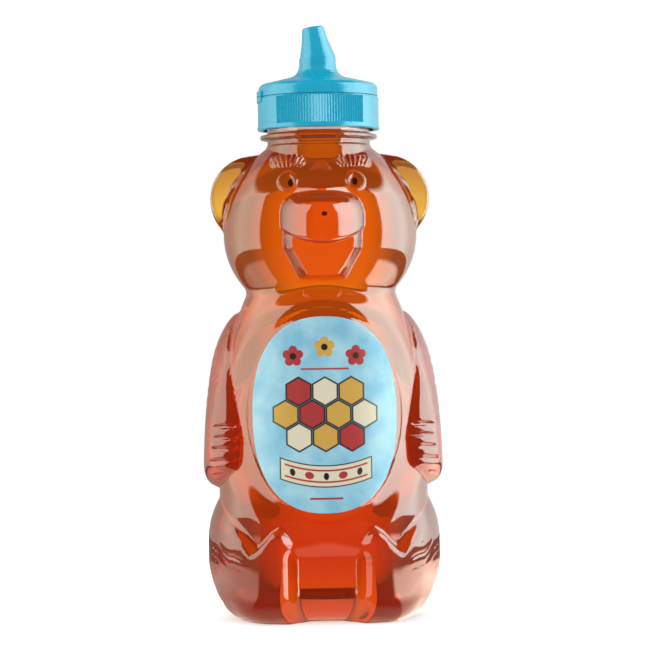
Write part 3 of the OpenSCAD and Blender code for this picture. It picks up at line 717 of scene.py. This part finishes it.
def floor_material():
    """A white floor that keeps the object's shadow. To the object it is lit by the soft boxes near
    by and darker further off."""
    m, nt, b = new_material("white_floor")
    path = nt.nodes.new("ShaderNodeLightPath")
    nt.links.new(mix_colour(nt, path.outputs["Is Camera Ray"], (0.02, 0.02, 0.02), (0.8, 0.8, 0.8)), b.inputs["Base Color"])
    b.inputs["Roughness"].default_value = 0.9
    x, y, z, v = object_xyz(nt)
    away = nt.nodes.new("ShaderNodeVectorMath")
    away.operation = "LENGTH"
    nt.links.new(v, away.inputs[0])
    far = ramp(nt, away.outputs["Value"], 210, 250)
    # Painted shadow: near the bottle's base, the soft boxes' glow that the object sees drops to 0.3 of its level
    close = ramp(nt, away.outputs["Value"], 45, 80, 0.3, 1)
    boxes = [mix_number(nt, far, calc(nt, "MULTIPLY", near, close), FLOOR_FAR) for near in FLOOR_NEAR[:2]]
    boxes.append(ramp(nt, away.outputs["Value"], 37, 45, *FLOOR_NEAR[2:]))
    through = mix_number(nt, far, FLOOR_THROUGH, 0.3)
    level, tint = studio_light(nt, (x, y, z), boxes, through, 0.7, FLOOR_WHITE, (FLOOR_TINT, FLOOR_TINT))
    nt.links.new(level, b.inputs["Emission Strength"])
    nt.links.new(tint, b.inputs["Emission Color"])
    return m


def give(ob, material):
    ob.data.materials.clear()
    ob.data.materials.append(material)


# Operators

NECK_WALL = 1.7


class BEAR_OT_skin(bpy.types.Operator):
    """Blown bear with its threaded neck, open at the rim and solid down to the honey's level"""
    bl_idname = "bear.skin"
    bl_label = "Bear skin"

    def execute(self, context):
        p = sizes()
        deg = FINE_AZIMUTHS
        z = np.linspace(skin_top(), p.rim_z - 0.2, 62)[1:, None]
        neck = around(deg, neck_radius(deg, np.broadcast_to(z, (len(z), len(deg)))), z)
        bore = p.neck_r - NECK_WALL
        mouth = np.array([(p.neck_r - 0.2, p.rim_z), (bore + 0.2, p.rim_z), (bore, p.rim_z - 0.2), (bore, 171),
                          (bore, p.fill_z + 0.15), (bore - 0.2, p.fill_z), (bore * 0.6, p.fill_z)])
        mouth = around(deg, np.repeat(mouth[:, :1], len(deg), 1), mouth[:, 1:])
        rings = skin_rings(0, 0, skin_top(), deg)
        ob = closed_rings("bear_skin", np.concatenate([rings, neck, mouth]))
        give(ob, clear_skin_material())
        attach(ob, "bottle_body")
        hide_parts("bottle")
        return {"FINISHED"}


class BEAR_OT_honey(bpy.types.Operator):
    """Honey that fills the skin up into the neck"""
    bl_idname = "bear.honey"
    bl_label = "Honey"

    def execute(self, context):
        p = sizes()
        deg = FINE_AZIMUTHS
        top = skin_top() - 0.5
        plug_r, level = p.neck_r - NECK_WALL - 0.15, p.fill_z - 0.05
        plug = np.array([(plug_r, top + 1), (plug_r, level), (plug_r - 0.7, level)])
        plug = around(deg, np.repeat(plug[:, :1], len(deg), 1), plug[:, 1:])
        ob = closed_rings("honey_filling", np.concatenate([skin_rings(p.wall, p.wall, top, deg), plug]))
        give(ob, honey_material())
        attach(ob, "bottle_body")
        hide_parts("honey")
        return {"FINISHED"}


class BEAR_OT_label(bpy.types.Operator):
    """Oval film label on the belly's panel"""
    bl_idname = "bear.label"
    bl_label = "Label"

    def execute(self, context):
        p = sizes()
        t = np.radians(np.arange(192) * 360 / 192)
        bend = 2 / 2.4
        edge_x = p.label_w / 2 * np.sign(np.cos(t)) * np.abs(np.cos(t)) ** bend
        edge_z = p.label_h / 2 * np.sign(np.sin(t)) * np.abs(np.sin(t)) ** bend

        def sheet(share, out):
            """The film's outline shrunk to a share of itself, on a leaning cylinder."""
            x, h = edge_x * share, edge_z * share
            c = p.panel_r - (p.belly_d - 1)
            y = (c - np.sqrt((p.panel_r + PANEL_RISE + out) ** 2 - x ** 2)) / math.cos(PANEL_LEAN)
            return np.stack([x, y + h * math.tan(PANEL_LEAN), p.label_z + h], -1)
        shares = (0.02, 0.08, 0.18, 0.3, 0.45, 0.6, 0.72, 0.84, 0.94, 0.98)
        rings = [sheet(s, 0.05) for s in shares] + [sheet(1, 0.05), sheet(1, 0.14), sheet(0.997, 0.17)] \
            + [sheet(s, 0.17) for s in shares[::-1]]
        ob = closed_rings("oval_label", rings)
        give(ob, label_material())
        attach(ob, "bottle_body")
        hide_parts("front_label")
        return {"FINISHED"}


class BEAR_OT_closure(bpy.types.Operator):
    """Finishes of the closure, its lid, its foam ring and the foil seal"""
    bl_idname = "bear.closure"
    bl_label = "Closure"

    def execute(self, context):
        blue = moulded_material("blue_closure", tuple(colours().closure), 0.25, 0)
        for node, material in (("cap_base", blue), ("lid", blue), ("foil_seal", foil_material()),
                               ("liner_ring", moulded_material("white_foam", (0.8, 0.8, 0.78), 0.7, 0))):
            give(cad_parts[node], material)
        return {"FINISHED"}


FLOOR_R, FLOOR_WHITE = 450, 0.5
CAMERA_FAR, CAMERA_ASIDE, CAMERA_RAISED = 0.95, 0.0008, 0.1005
CAMERA_TURN, CAMERA_ROLL = math.radians(-2), math.radians(0.8)


class BEAR_OT_stage(bpy.types.Operator):
    """White floor, studio light and the camera"""
    bl_idname = "bear.stage"
    bl_label = "Stage"

    def execute(self, context):
        scene = context.scene
        scene.view_settings.view_transform = "Standard"
        white_world(scene)
        rim = around(np.arange(0, 360, 3), FLOOR_R, np.zeros(120))
        floor = add_mesh("floor", rim, [list(range(120))], smooth=False)
        give(floor, floor_material())
        cam = bpy.data.cameras.new("camera")
        cam.lens, cam.sensor_width = 154, 36
        ob = bpy.data.objects.new("camera", cam)
        s, c = math.sin(CAMERA_TURN), math.cos(CAMERA_TURN)
        ob.location = (CAMERA_FAR * s + CAMERA_ASIDE * c, -CAMERA_FAR * c + CAMERA_ASIDE * s, CAMERA_RAISED)
        ob.rotation_euler = (math.radians(90), CAMERA_ROLL, CAMERA_TURN)
        scene.collection.objects.link(ob)
        scene.camera = ob
        return {"FINISHED"}


class BEAR_PT_panel(bpy.types.Panel):
    """Lists the operators in the sidebar"""
    bl_label = "Honey bear"
    bl_idname = "BEAR_PT_panel"
    bl_space_type = "VIEW_3D"
    bl_region_type = "UI"
    bl_category = "Honey bear"

    def draw(self, context):
        for op in OPERATORS:
            self.layout.operator(op.bl_idname)


OPERATORS = (BEAR_OT_skin, BEAR_OT_honey, BEAR_OT_label, BEAR_OT_closure, BEAR_OT_stage)
CLASSES = (BearSizes, BearColours) + OPERATORS + (BEAR_PT_panel,)


def register():
    for c in CLASSES:
        bpy.utils.register_class(c)
    bpy.types.Scene.bear_sizes = PointerProperty(type=BearSizes)
    bpy.types.Scene.bear_colours = PointerProperty(type=BearColours)


def unregister():
    del bpy.types.Scene.bear_sizes, bpy.types.Scene.bear_colours
    for c in reversed(CLASSES):
        bpy.utils.unregister_class(c)


def main():
    register()
    for build in (bpy.ops.bear.skin, bpy.ops.bear.honey, bpy.ops.bear.label, bpy.ops.bear.closure, bpy.ops.bear.stage):
        build()


if __name__ == "__main__":
    main()
